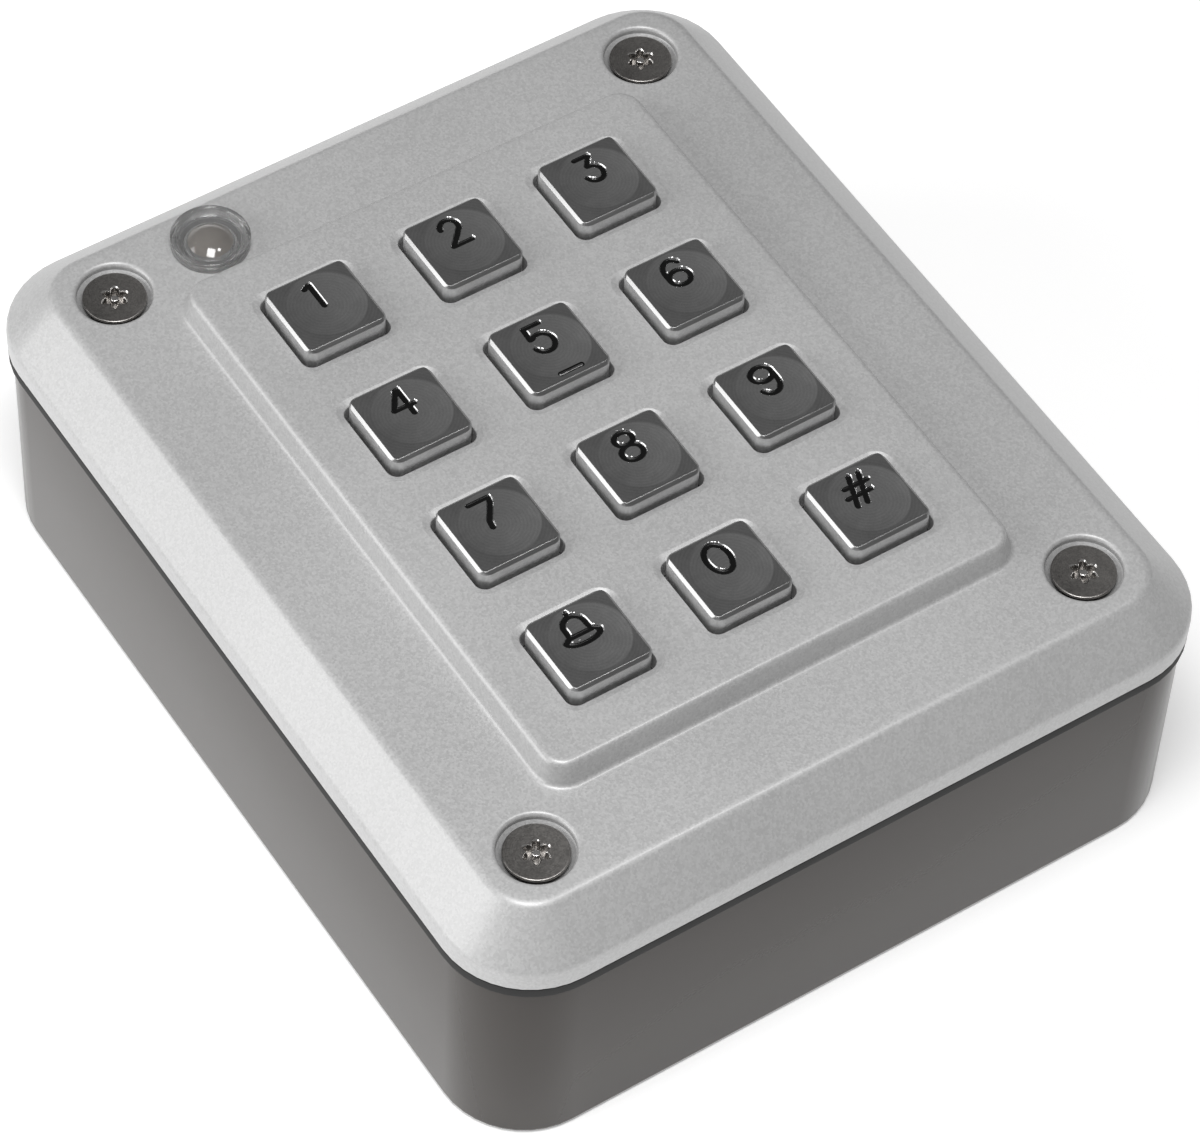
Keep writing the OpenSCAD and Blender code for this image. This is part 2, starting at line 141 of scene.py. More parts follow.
def soft_box(name, azimuth, elevation, distance, width, height, watts):
    """A rectangular lamp that looks at the reader, with its sizes in millimetres."""
    data = bpy.data.lights.new(name, "AREA")
    data.shape = "RECTANGLE"
    data.size, data.size_y = width * MM, height * MM
    data.energy = watts
    light = bpy.data.objects.new(name, data)
    scene.collection.objects.link(light)
    aim(light, LIGHT_TARGET + distance * direction(azimuth, elevation), LIGHT_TARGET)


soft_box("left_box", azimuth=-108, elevation=23, distance=700, width=600, height=480, watts=2.65)
soft_box("top_box", azimuth=-42, elevation=74, distance=560, width=230, height=230, watts=2.1)
soft_box("edge_lamp", azimuth=48, elevation=68, distance=560, width=80, height=80, watts=0.30)
SKY_LEVEL = 0.16
sky = bpy.data.worlds.new("sky")
sky.use_nodes = True
sky.node_tree.nodes["Background"].inputs["Color"].default_value = (1.0, 1.0, 1.0, 1)
sky.node_tree.nodes["Background"].inputs["Strength"].default_value = SKY_LEVEL
scene.world = sky
scene.view_settings.view_transform = "Standard"

# %% [markdown]
# ## Finishes: shared effects
# Several finishes need the same few effects, so each effect is one node group with named inputs and
# outputs. Grain makes the tiny bumps of a sprayed or moulded surface, Mottle makes slow changes in tone and
# gloss, and Rings makes the fine circles that turning or polishing leaves, a lighter disc, and a painted
# sheen that brightens the disc towards one side of the face. Grain and Mottle read the piece's own
# coordinates, in metres, and Rings reads a flat map, in millimetres from the middle of each round or
# square face, so the sizes below are real sizes.

# %% Node helpers
NUMBER = "NodeSocketFloat"


def new_group(name, inputs, outputs):
    """A shader node group whose inputs and outputs are numbers."""
    group = bpy.data.node_groups.new(name, "ShaderNodeTree")
    for label, value in inputs:
        socket = group.interface.new_socket(label, in_out="INPUT", socket_type=NUMBER)
        socket.default_value = value
    for label in outputs:
        group.interface.new_socket(label, in_out="OUTPUT", socket_type=NUMBER)
    return group, group.nodes.new("NodeGroupInput"), group.nodes.new("NodeGroupOutput")


def add(tree, kind, links=None, **settings):
    """One node, its settings, and its inputs as values or as sockets to link from."""
    node = tree.nodes.new(kind)
    for key, value in settings.items():
        setattr(node, key, value)
    for key, value in (links or {}).items():
        if isinstance(value, bpy.types.NodeSocket):
            tree.links.new(value, node.inputs[key])
        else:
            node.inputs[key].default_value = value
    return node


def maths(tree, operation, a, b):
    """The output of a Math node. a and b are values or sockets."""
    return add(tree, "ShaderNodeMath", {0: a, 1: b}, operation=operation).outputs[0]


def spread(tree, value, low, high):
    """A 0 to 1 value spread over low to high."""
    node = add(tree, "ShaderNodeMapRange", {"Value": value, "To Min": low, "To Max": high})
    return node.outputs["Result"]


# %% Grain and Mottle
MM_PER_METRE = 1000.0
grain, g_in, g_out = new_group("Grain", [("Size mm", 0.3), ("Softness", 0.5)], ["Height", "Fleck"])
place = add(grain, "ShaderNodeTexCoord").outputs["Object"]
per_metre = maths(grain, "DIVIDE", MM_PER_METRE, g_in.outputs["Size mm"])
coarse = add(
    grain, "ShaderNodeTexNoise", {"Vector": place, "Scale": per_metre, "Detail": 2.0, "Roughness": 0.6}
)
cells = add(grain, "ShaderNodeTexVoronoi", {"Vector": place, "Scale": per_metre}, feature="F1")
dimple = maths(grain, "MULTIPLY", cells.outputs["Distance"], g_in.outputs["Softness"])
grain.links.new(maths(grain, "ADD", coarse.outputs["Fac"], dimple), g_out.inputs["Height"])
fleck = add(grain, "ShaderNodeTexWhiteNoise", {"Vector": cells.outputs["Position"]})
grain.links.new(fleck.outputs["Value"], g_out.inputs["Fleck"])

mottle, m_in, m_out = new_group("Mottle", [("Size mm", 20.0)], ["Tone"])
place = add(mottle, "ShaderNodeTexCoord").outputs["Object"]
per_metre = maths(mottle, "DIVIDE", MM_PER_METRE, m_in.outputs["Size mm"])
cloud = add(mottle, "ShaderNodeTexNoise", {"Vector": place, "Scale": per_metre, "Detail": 4.0})
mottle.links.new(cloud.outputs["Fac"], m_out.inputs["Tone"])
print("made Grain and Mottle")

# %% Rings
WAVE_SCALE = 0.314  # the wave node's scale for one ring a millimetre
DISC_SHIFT = (-0.35, -0.15, 0)
DISC_SOFT = 0.25
DISC_SPAN, DISC_SHADED_SIDE = 5.0, 0.15  # painted sheen: the disc is brightest at +X and shaded to this share at -X
SWIRL_SHARE, DISC_SHARE, RIPPLE_SHARE = 0.40, 0.62, 0.12
rings, r_in, r_out = new_group(
    "Rings", [("Spacing mm", 0.3), ("Wobble", 0.4), ("Disc mm", 4.9)], ["Height", "Band"]
)
flat = add(rings, "ShaderNodeUVMap", uv_map="face_mm").outputs["UV"]
ripple = add(
    rings, "ShaderNodeTexWave",
    {
        "Vector": flat, "Scale": maths(rings, "DIVIDE", WAVE_SCALE, r_in.outputs["Spacing mm"]),
        "Distortion": r_in.outputs["Wobble"], "Detail": 2.0
    },
    wave_type="RINGS", rings_direction="SPHERICAL"
)
rings.links.new(ripple.outputs["Fac"], r_out.inputs["Height"])
swirl = add(
    rings, "ShaderNodeTexNoise", {"Vector": flat, "Scale": 0.35, "Detail": 3.0, "Distortion": 1.2}
)
shifted = add(rings, "ShaderNodeVectorMath", {0: flat, 1: DISC_SHIFT}, operation="ADD")
length = add(rings, "ShaderNodeVectorMath", {0: shifted.outputs["Vector"]}, operation="LENGTH")
reach = length.outputs["Value"]
inner = maths(rings, "SUBTRACT", r_in.outputs["Disc mm"], DISC_SOFT)
disc = add(
    rings, "ShaderNodeMapRange",
    {"Value": reach, "From Min": inner, "From Max": r_in.outputs["Disc mm"], "To Min": 1.0, "To Max": 0.0},
    interpolation_type="SMOOTHSTEP"
).outputs["Result"]
# Painted sheen: the disc is brightened towards +X of each face and shaded towards -X, standing in for the
# light.
across = add(rings, "ShaderNodeSeparateXYZ", {0: flat}).outputs["X"]
painted_sheen = add(
    rings, "ShaderNodeMapRange",
    {"Value": across, "From Min": -DISC_SPAN, "From Max": DISC_SPAN, "To Min": DISC_SHADED_SIDE}
)
disc_and_sheen = maths(rings, "MULTIPLY", disc, painted_sheen.outputs["Result"])
ring_tone = maths(rings, "MULTIPLY", ripple.outputs["Fac"], RIPPLE_SHARE)
swirl_tone = maths(rings, "MULTIPLY", swirl.outputs["Fac"], SWIRL_SHARE)
disc_tone = maths(rings, "MULTIPLY", disc_and_sheen, DISC_SHARE)
band = maths(rings, "ADD", maths(rings, "ADD", swirl_tone, disc_tone), ring_tone)
rings.links.new(band, r_out.inputs["Band"])
print("shared effects:", [g.name for g in bpy.data.node_groups])

# %% [markdown]
# ## Finishes: the maker
# Every finish starts the same way: a tone that drifts slowly, a roughness that drifts with it, and a fine
# bump. Each material could be wired by hand, but then a change would have to be made in all of them. So one
# function wires them, and each finish passes its own colours and sizes. Values that are the same all over
# go straight on the shader.

# %% The finish function
MOTTLE_SHARE, RINGS_SHARE = 0.3, 0.7


def effect(tree, group, **inputs):
    """One of the shared effects, placed in a material with its own values."""
    node = tree.nodes.new("ShaderNodeGroup")
    node.node_tree = group
    for key, value in inputs.items():
        node.inputs[key.replace("_", " ")].default_value = value
    return node


def finish(
    name, dark, light, rough, grain_mm, bump_mm, mottle_mm=20.0, metallic=0.0, fleck=0.0,
    turned_mm=None, turned_bump=0.0, disc_mm=4.9, **shader
):
    """A procedural finish: dark and light are its tones, rough its lowest and highest roughness."""
    material = bpy.data.materials.new(name)
    material.use_nodes = True
    tree = material.node_tree
    bsdf = tree.nodes["Principled BSDF"]
    tone = effect(tree, mottle, Size_mm=mottle_mm).outputs["Tone"]
    small = effect(tree, grain, Size_mm=grain_mm)
    # Turned faces also take the Rings band: its circles, a lighter disc, and a painted sheen brighter towards
    # +X.
    if turned_mm:
        rings_and_sheen = effect(tree, rings, Spacing_mm=turned_mm, Disc_mm=disc_mm)
        drift = maths(tree, "MULTIPLY", tone, MOTTLE_SHARE)
        tone = maths(tree, "ADD", drift, maths(tree, "MULTIPLY", rings_and_sheen.outputs["Band"], RINGS_SHARE))
    flecks = maths(tree, "MULTIPLY", small.outputs["Fleck"], fleck)
    blend = maths(tree, "ADD", flecks, maths(tree, "MULTIPLY", tone, 1.0 - fleck))
    ramp = add(tree, "ShaderNodeMix", {"Factor": blend}, data_type="RGBA")
    ramp.inputs["A"].default_value = (*dark, 1)
    ramp.inputs["B"].default_value = (*light, 1)
    tree.links.new(ramp.outputs["Result"], bsdf.inputs["Base Color"])
    tree.links.new(spread(tree, blend, *rough), bsdf.inputs["Roughness"])
    bump = add(
        tree, "ShaderNodeBump",
        {"Height": small.outputs["Height"], "Strength": 1.0, "Distance": bump_mm * MM}
    )
    if turned_mm:
        bump = add(
            tree, "ShaderNodeBump",
            {
                "Height": rings_and_sheen.outputs["Height"], "Strength": 1.0, "Distance": turned_bump * MM,
                "Normal": bump.outputs["Normal"]
            }
        )
    tree.links.new(bump.outputs["Normal"], bsdf.inputs["Normal"])
    bsdf.inputs["Metallic"].default_value = metallic
    for key, value in shader.items():
        bsdf.inputs[key.replace("_", " ")].default_value = value
    return material


def grey(value, warm=0.0):
    """A neutral tone, a little warmer or cooler."""
    return (value * (1 + warm), value, value * (1 - warm))


# %% [markdown]
# ## Finishes: outside
# The cover has a fine sand-textured silver paint: a light grey with metal flecks, quite rough, whose grain
# only shows where the light grazes it. The back box has a smoother dark grey paint with a soft gloss. The
# keys are bare metal, polished in small circles, and their legends are engraved and filled with black. The
# screws are dark steel with edges worn bright, the seal is black rubber, and the lens is clear plastic with
# a smoked middle. The key tops and screw heads also carry a painted sheen, brighter towards their right
# side. Pictures of such surfaces would blur close up, so every finish is made of noise at its real size.

# %% Outside finishes
sand_silver = finish(
    "sand_silver_paint", grey(0.40), grey(0.58), (0.38, 0.56), grain_mm=0.26, bump_mm=0.013,
    mottle_mm=35.0, metallic=0.25, fleck=0.45, Coat_Weight=0.35, Coat_Roughness=0.20
)
dark_grey = finish(
    "dark_grey_paint", grey(0.030, 0.12), grey(0.042, 0.12), (0.16, 0.26), grain_mm=0.6, bump_mm=0.003,
    mottle_mm=30.0, Specular_IOR_Level=0.32, Specular_Tint=(1.0, 0.94, 0.93, 1.0)
)
satin_chrome = finish(
    "satin_chrome", grey(0.32), grey(0.78), (0.15, 0.30), grain_mm=0.16, bump_mm=0.0010,
    mottle_mm=6.0, metallic=1.0, fleck=0.10, turned_mm=0.42, turned_bump=0.0016
)
key_side = finish(
    "satin_chrome_side", grey(0.50), grey(0.78), (0.40, 0.56), grain_mm=0.22, bump_mm=0.006,
    mottle_mm=4.0, metallic=1.0, fleck=0.3
)
key_edge = finish(
    "satin_chrome_edge", grey(0.32), grey(0.50), (0.26, 0.36), grain_mm=0.3, bump_mm=0.002,
    mottle_mm=5.0, metallic=1.0
)
legend_fill = finish(
    "legend_fill", grey(0.002), grey(0.006), (0.22, 0.36), grain_mm=0.2, bump_mm=0.004, mottle_mm=2.0,
    Specular_IOR_Level=0.25
)
dark_steel = finish(
    "dark_steel", grey(0.10, 0.04), grey(0.52, 0.04), (0.22, 0.40), grain_mm=0.16, bump_mm=0.004,
    mottle_mm=1.6, metallic=1.0, fleck=0.25, turned_mm=0.25, turned_bump=0.003, disc_mm=9.0
)
bright_edge = finish(
    "worn_steel", grey(0.55, 0.02), grey(0.85, 0.02), (0.15, 0.30), grain_mm=0.1, bump_mm=0.003,
    mottle_mm=1.0, metallic=1.0
)
black_rubber = finish(
    "black_rubber", grey(0.003), grey(0.008), (0.60, 0.80), grain_mm=0.25, bump_mm=0.006, mottle_mm=8.0
)
clear_lens = finish(
    "clear_lens", grey(0.88), grey(0.95), (0.01, 0.03), grain_mm=2.5, bump_mm=0.001, mottle_mm=4.0,
    Transmission_Weight=0.87, IOR=1.49
)
lens_centre = finish(
    "lens_centre", grey(0.17, 0.07), grey(0.23, 0.07), (0.08, 0.16), grain_mm=0.8, bump_mm=0.002,
    mottle_mm=2.5, Transmission_Weight=0.2, IOR=1.49, Coat_Weight=0.8, Coat_Roughness=0.05
)
led_resin = finish(
    "led_resin", grey(0.26, 0.05), grey(0.36, 0.05), (0.10, 0.20), grain_mm=1.2, bump_mm=0.002,
    mottle_mm=2.0, Subsurface_Weight=0.3, Coat_Weight=1.0
)
print("outside finishes made")

# %% [markdown]
# ## Finishes: inside
# The pieces inside only show when the reader is taken apart, but they are the same quality: green boards,
# moulded plastics, plated steel, brass and gold. Each takes the slot that the frame's record names for its
# node.

# %% Inside finishes
inside = {
    "carbon_rubber": finish(
        "carbon_rubber", grey(0.015), grey(0.03), (0.65, 0.85), grain_mm=0.2, bump_mm=0.005
    ),
    "brass": finish(
        "brass", (0.55, 0.36, 0.12), (0.78, 0.56, 0.24), (0.22, 0.36), grain_mm=0.2, bump_mm=0.003,
        mottle_mm=3.0, metallic=1.0
    ),
    "tinned_steel": finish(
        "tinned_steel", grey(0.50), grey(0.68), (0.22, 0.36), grain_mm=0.15, bump_mm=0.002, mottle_mm=3.0,
        metallic=1.0
    ),
    "bright_aluminium": finish(
        "bright_aluminium", grey(0.62), grey(0.76), (0.25, 0.38), grain_mm=0.15, bump_mm=0.002, mottle_mm=4.0,
        metallic=1.0
    ),
    "spring_steel": finish(
        "spring_steel", grey(0.34), grey(0.50), (0.20, 0.32), grain_mm=0.1, bump_mm=0.002, mottle_mm=2.0,
        metallic=1.0
    ),
    "circuit_board": finish(
        "circuit_board", (0.010, 0.10, 0.045), (0.022, 0.17, 0.075), (0.24, 0.36), grain_mm=0.5,
        bump_mm=0.006, mottle_mm=5.0, Coat_Weight=0.4
    ),
    "gold_plate": finish(
        "gold_plate", (0.76, 0.52, 0.18), (0.90, 0.66, 0.28), (0.20, 0.32), grain_mm=0.15,
        bump_mm=0.002, mottle_mm=2.0, metallic=1.0
    ),
    "dark_plastic": finish(
        "dark_plastic", grey(0.018), grey(0.034), (0.42, 0.58), grain_mm=0.2, bump_mm=0.005
    ),
    "dark_resin": finish("dark_resin", grey(0.012), grey(0.03), (0.12, 0.22), grain_mm=0.4, bump_mm=0.002),
    "ivory_plastic": finish(
        "ivory_plastic", (0.62, 0.58, 0.46), (0.76, 0.72, 0.60), (0.38, 0.52), grain_mm=0.2, bump_mm=0.004
    ),
    "green_plastic": finish(
        "green_plastic", (0.020, 0.14, 0.06), (0.036, 0.21, 0.09), (0.36, 0.50), grain_mm=0.2, bump_mm=0.004
    ),
    "blue_plastic": finish(
        "blue_plastic", (0.015, 0.05, 0.20), (0.03, 0.09, 0.32), (0.24, 0.36), grain_mm=0.3, bump_mm=0.003
    ),
}
inside.update({
    "sand_silver_paint": sand_silver, "dark_grey_paint": dark_grey, "satin_chrome": satin_chrome,
    "dark_steel": dark_steel, "black_rubber": black_rubber, "clear_lens": clear_lens, "led_resin": led_resin
})
slot_of = {part["node"]: part["material_slot"] for part in frame["record"]["subparts"]}
for name, node in frame["nodes"].items():
    for material_slot in node.material_slots:
        material_slot.material = inside[slot_of[name]]
print("nodes with a finish:", len(slot_of))

# %% [markdown]
# ## Drawing tools
# The visible shapes are nearly all of one kind: an outline that is offset and lifted step by step. So a
# piece is a stack of rings joined by bands, closed by flat faces that may have holes. This gives true
# rounded edges of a chosen radius, which a bevel on an imported mesh can't promise.

# %% Outlines and edge paths
CORNER_STEPS = 10
CIRCLE_STEPS = 64
ARC_STEPS = 5
LEAST_CORNER = 0.05


def rounded(half_x, half_y, r):
    """Outline of a rounded rectangle, anticlockwise."""
    points = []
    for sx, sy, start in ((1, 1, 0), (-1, 1, 90), (-1, -1, 180), (1, -1, 270)):
        for i in range(CORNER_STEPS + 1):
            a = math.radians(start + 90 * i / CORNER_STEPS)
            points.append((sx * (half_x - r) + r * math.cos(a), sy * (half_y - r) + r * math.sin(a)))
    return points


def circle(r, steps=CIRCLE_STEPS):
    """Outline of a circle, anticlockwise."""
    return [(r * math.cos(math.tau * i / steps), r * math.sin(math.tau * i / steps)) for i in range(steps)]


def eased(path, radii, steps=ARC_STEPS):
    """A path of straight lines whose inner corners are rounded to the given radii."""
    points = [tuple(path[0])]
    for before, at, after, r in zip(path, path[1:], path[2:], radii):
        before, at, after = Vector(before), Vector(at), Vector(after)
        a, b = (before - at).normalized(), (after - at).normalized()
        half = a.angle(b) / 2
        centre = at + (a + b).normalized() * (r / math.sin(half))
        start = at + a * (r / math.tan(half)) - centre
        end = at + b * (r / math.tan(half)) - centre
        for i in range(steps + 1):
            points.append(tuple(centre + start.lerp(end, i / steps).normalized() * r))
    return points + [tuple(path[-1])]


# %% The ring stacker
class Skin:
    """The points and faces of one piece, in millimetres, gathered ring by ring."""

    def __init__(self):
        self.points, self.faces, self.finish = [], [], []

    def ring(self, outline, z, at=(0, 0)):
        """Points of an outline at one height. Returns their numbers."""
        first = len(self.points)
        self.points += [(x + at[0], y + at[1], z) for x, y in outline]
        return list(range(first, len(self.points)))

    def band(self, low, high, finish=0):
        """Faces between two rings of equal length."""
        count = len(low)
        for i in range(count):
            j = (i + 1) % count
            self.faces.append((low[i], low[j], high[j], high[i]))
            self.finish.append(finish)

    def flat(self, outer, holes=(), finish=0):
        """A flat face inside one ring, with other rings as its holes."""
        loops = [outer, *holes]
        places = [[Vector(self.points[i]) for i in loop] for loop in loops]
        index = [i for loop in loops for i in loop]
        for corners in tessellate_polygon(places):
            self.faces.append([index[i] for i in corners])
            self.finish.append(finish)

    def stack(self, outlines, at=(0, 0), finish=0):
        """Bands between (outline, z) pairs. Returns the first and the last ring."""
        stack = [self.ring(outline, z, at) for outline, z in outlines]
        for low, high in zip(stack, stack[1:]):
            self.band(low, high, finish)
        return stack[0], stack[-1]

    def swept(self, half_x, half_y, r, path, at=(0, 0), finish=0):
        """A path of (offset, z) points swept round a rounded rectangle."""
        return self.stack(
            [(rounded(half_x + d, half_y + d, max(r + d, LEAST_CORNER)), z) for d, z in path], at, finish
        )

    def turned(self, path, at=(0, 0), finish=0, steps=CIRCLE_STEPS):
        """A path of (radius, z) points turned round an upright axis."""
        return self.stack([(circle(r, steps), z) for r, z in path], at, finish)

    def make(self, name, finishes):
        """The piece as a Blender object, in metres."""
        mesh = bpy.data.meshes.new(name)
        mesh.from_pydata([Vector(p) * MM for p in self.points], [], self.faces)
        for material in finishes:
            mesh.materials.append(material)
        mesh.polygons.foreach_set("material_index", self.finish)
        obj = bpy.data.objects.new(name, mesh)
        scene.collection.objects.link(obj)
        tidy(obj)
        return obj


# %% Joining, cutting and smoothing
SHARP_ANGLE = 32
SAME_POINT = 1e-7


def tidy(obj):
    """Joins doubled points, turns every face outward, and shades smoothly except across sharp edges."""
    shape = bmesh.new()
    shape.from_mesh(obj.data)
    bmesh.ops.remove_doubles(shape, verts=shape.verts, dist=SAME_POINT)
    bmesh.ops.recalc_face_normals(shape, faces=shape.faces)
    shape.to_mesh(obj.data)
    shape.free()
    obj.data.shade_smooth()
    obj.data.set_sharp_from_angle(angle=math.radians(SHARP_ANGLE))


def combine(obj, tool, operation="DIFFERENCE"):
    """Cuts a tool away from a piece, or adds it, and removes the tool."""
    modifier = obj.modifiers.new("cut", "BOOLEAN")
    modifier.operation = operation
    modifier.solver = "EXACT"
    modifier.material_mode = "TRANSFER"
    modifier.object = tool
    bpy.context.view_layer.update()
    result = bpy.data.meshes.new_from_object(obj.evaluated_get(bpy.context.evaluated_depsgraph_get()))
    obj.modifiers.clear()
    old = obj.data
    obj.data = result
    bpy.data.meshes.remove(old)
    bpy.data.objects.remove(tool)


def block(name, outline, low, high, finishes, at=(0, 0)):
    """A plain upright block on an outline, used as a cutting tool or a core."""
    skin = Skin()
    bottom, top = skin.stack([(outline, low), (outline, high)], at)
    skin.flat(bottom)
    skin.flat(top)
    return skin.make(name, finishes)


def corners(x, y):
    """The four places that mirror each other about the middle."""
    return [(sx * x, sy * y) for sx in (-1, 1) for sy in (-1, 1)]


def face_uv(obj, centres):
    """Writes flat coordinates, in millimetres from the nearest centre, for the ring effect."""
    layer = obj.data.uv_layers.new(name="face_mm")
    for polygon in obj.data.polygons:
        spot = polygon.center / MM
        cx, cy = min(centres, key=lambda c: (c[0] - spot.x) ** 2 + (c[1] - spot.y) ** 2)
        for i in polygon.loop_indices:
            co = obj.data.vertices[obj.data.loops[i].vertex_index].co / MM
            layer.data[i].uv = (co.x - cx, co.y - cy)


def stand_for(obj, body, *nodes):
    """The piece replaces these nodes and rides on a body."""
    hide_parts(*nodes)
    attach(obj, body)
    print(f"{obj.name}: {len(obj.data.polygons)} faces")


# %% [markdown]
# ## Front cover
# The cover is one casting: an upright lip, a 45 degree bevel, a flat border, and a raised panel with twelve
# openings. The panel dips a little towards each opening, like a shallow dish. Every edge has a soft radius
# from the mould and the paint. The outside is drawn with rings, and the hollow inside, with its bosses, is
# cut out of it.

# %% Measures of the cover
LIP, BEVEL, CORNER = 2.95, 5.65, 11.3
RISE, SLOPE, PANEL_CORNER, PANEL_MARGIN = 3.2, 0.9, 2.8, 12.3
PLATE = 3.0
LIP_EDGE, BEVEL_EDGE, BORDER_EDGE = 0.25, 1.2, 1.6
FOOT_EDGE, PANEL_EDGE = 0.7, 0.8
OPENING, OPENING_CORNER, DISH_WIDE, DISH_DEEP = 5.95, 1.4, 0.95, 0.36
DISH_EDGES = (0.35, 0.16)
RECESS_R, RECESS_EDGE = 4.55, 0.5
HOLE_R, HEAD_R, HEAD_SINK, HEAD_RIM = 2.3, 3.85, 0.66, 0.3
LENS_FLANGE, SEAT_WIDE, SEAT_DEEP, WELL_DEEP, GAP = 1.05, 0.75, 0.58, 2.0, 0.05
POST_R = 2.9
border_z = panel_z - RISE
screw_high = box_mm("cover_screws")[1]
screw_at = corners(screw_high.x - HEAD_R, screw_high.y - HEAD_R)
panel_half = Vector((key_at["3"].x + PANEL_MARGIN, key_at["3"].y + PANEL_MARGIN))
lens_low, lens_high = box_mm("led_lens")
lens_at = middle("led_lens").xy
lens_r = (lens_high.x - lens_low.x) / 2
tail_r = lens_r - LENS_FLANGE
post_high = box_mm("board_spacers")[1]
post_at = corners(post_high.x - POST_R, post_high.y - POST_R)
print(f"border at {border_z:.2f}, screws at {screw_at[3]}, lens radius {lens_r:.2f}")

# %% Outside of the cover
# Each path starts or ends on a strip of the flat face that it joins.
BORDER_RUN, FOOT_RUN, PANEL_RUN, RECESS_RUN, DISH_RUN = 1.2, 1.1, 1.5, 0.6, 0.15
OPENING_OVER = 0.5
cover = Skin()
half_x, half_y = cover_high.x, cover_high.y
outer_path = eased(
    [
        (-2 * LIP_EDGE, seam_z), (0, seam_z), (0, seam_z + LIP), (-BEVEL, border_z),
        (-BEVEL - BORDER_RUN, border_z)
    ],
    [LIP_EDGE, BEVEL_EDGE, BORDER_EDGE]
)
bottom, border_ring = cover.swept(half_x, half_y, CORNER, outer_path)
cover.flat(bottom)
panel_path = eased(
    [(SLOPE + FOOT_RUN, border_z), (SLOPE, border_z), (0, panel_z), (-PANEL_RUN, panel_z)],
    [FOOT_EDGE, PANEL_EDGE]
)
foot_ring, panel_ring = cover.swept(panel_half.x, panel_half.y, PANEL_CORNER, panel_path)
recess_rings = []
cone = RECESS_R - HOLE_R
cone_z = border_z - HEAD_SINK - HEAD_RIM
for at in screw_at:
    path = eased(
        [(RECESS_R + RECESS_RUN, border_z), (RECESS_R, border_z), (RECESS_R, cone_z)], [RECESS_EDGE]
    )
    first, _ = cover.turned(path, at)
    _, last = cover.turned([(RECESS_R, cone_z), (HOLE_R, cone_z - cone)], at)
    cover.flat(last)
    recess_rings.append(first)
seat_r, well_r = tail_r + SEAT_WIDE, tail_r + GAP
seat_z, well_z = border_z - SEAT_DEEP, border_z - WELL_DEEP
lens_first, lens_last = cover.turned(
    [(seat_r, border_z), (seat_r, seat_z), (well_r, seat_z), (well_r, well_z)], lens_at
)
cover.flat(lens_last)
cover.flat(border_ring, [foot_ring, lens_first, *recess_rings])
opening_rings = []
for at in key_at.values():
    path = eased(
        [
            (DISH_WIDE + DISH_RUN, panel_z), (DISH_WIDE, panel_z), (0, panel_z - DISH_DEEP),
            (0, panel_z - PLATE - OPENING_OVER)
        ],
        DISH_EDGES
    )
    first, last = cover.swept(OPENING, OPENING, OPENING_CORNER, path, at)
    cover.flat(last)
    opening_rings.append(first)
cover.flat(panel_ring, opening_rings)
cover_piece = cover.make("front_cover_cast", [sand_silver])

# %% Inside of the cover
# A cutting tool starts or ends past the piece by OVER, and meets a hole from the other side by MEET.
OVER, MEET = 1.0, 0.2
CAVITY_WALL, POCKET_WALL, POCKET_CORNER = 5.0, 2.4, 2.0
PILLAR_R, POST_HOLE_R, POST_HOLE_DEEP, POST_HOLE_STEPS = 5.0, 1.25, 1.6, 24
under_z = border_z - PLATE
finishes = [sand_silver]
cavity = block(
    "cavity", rounded(half_x - CAVITY_WALL, half_y - CAVITY_WALL, CORNER - CAVITY_WALL),
    seam_z - OVER, under_z, finishes
)
for at in screw_at:
    combine(cavity, block("boss", circle(PILLAR_R), seam_z - 2 * OVER, under_z + OVER, finishes, at))
guide_top = box_mm("key_guide_plate")[1].z
for at in post_at:
    combine(cavity, block("post", circle(POST_R), guide_top, under_z + OVER, finishes, at))
combine(cover_piece, cavity)
pocket = block(
    "pocket", rounded(panel_half.x - POCKET_WALL, panel_half.y - POCKET_WALL, POCKET_CORNER),
    under_z - OVER, panel_z - PLATE, finishes
)
combine(cover_piece, pocket)
for at in screw_at:
    combine(cover_piece, block("hole", circle(HOLE_R), seam_z - OVER, cone_z - cone + MEET, finishes, at))
post_hole = circle(POST_HOLE_R, POST_HOLE_STEPS)
for at in post_at:
    combine(cover_piece, block("hole", post_hole, guide_top - OVER, under_z + POST_HOLE_DEEP, finishes, at))
combine(cover_piece, block("hole", circle(well_r), under_z - OVER, well_z + MEET, finishes, lens_at))
tidy(cover_piece)
stand_for(cover_piece, "housing", "front_cover")

# %% [markdown]
# ## Back box and seal
# The box is a deep folded or cast tray with upright walls and large corner radii. It stands back a little
# under the cover's lip, and a black rubber seal closes the joint. The seal is squeezed out almost to the
# cover's edge and hangs a little over the box's rim, so it reads as a thin dark line all round. A line of
# dark paint could do that from afar, but a piece of its own stays true from every side.

# %% Back box
box_high = box_mm("back_box")[1]
BOX_CORNER, BOX_WALL, FLOOR = 10.7, 2.5, 3.0
RIM_EDGE, RIM_RUN, BASE_EDGE, BASE_RUN = 0.35, 1.2, 0.8, 4.0
paint = [dark_grey]
box = Skin()
box_path = eased([(-BASE_RUN, 0), (0, 0), (0, box_high.z), (-RIM_RUN, box_high.z)], [BASE_EDGE, RIM_EDGE])
box_bottom, box_top = box.swept(box_high.x, box_high.y, BOX_CORNER, box_path)
box.flat(box_bottom)
box.flat(box_top)
box_piece = box.make("back_box_painted", paint)
inner_x, inner_y, inner_corner = box_high.x - BOX_WALL, box_high.y - BOX_WALL, BOX_CORNER - BOX_WALL
tray = block("tray", rounded(inner_x, inner_y, inner_corner), FLOOR, box_high.z + OVER, paint)
insert_low, insert_high = box_mm("threaded_inserts")
for at in screw_at:
    combine(tray, block("pillar", circle(PILLAR_R), FLOOR - OVER, insert_high.z, paint, at))
combine(box_piece, tray)

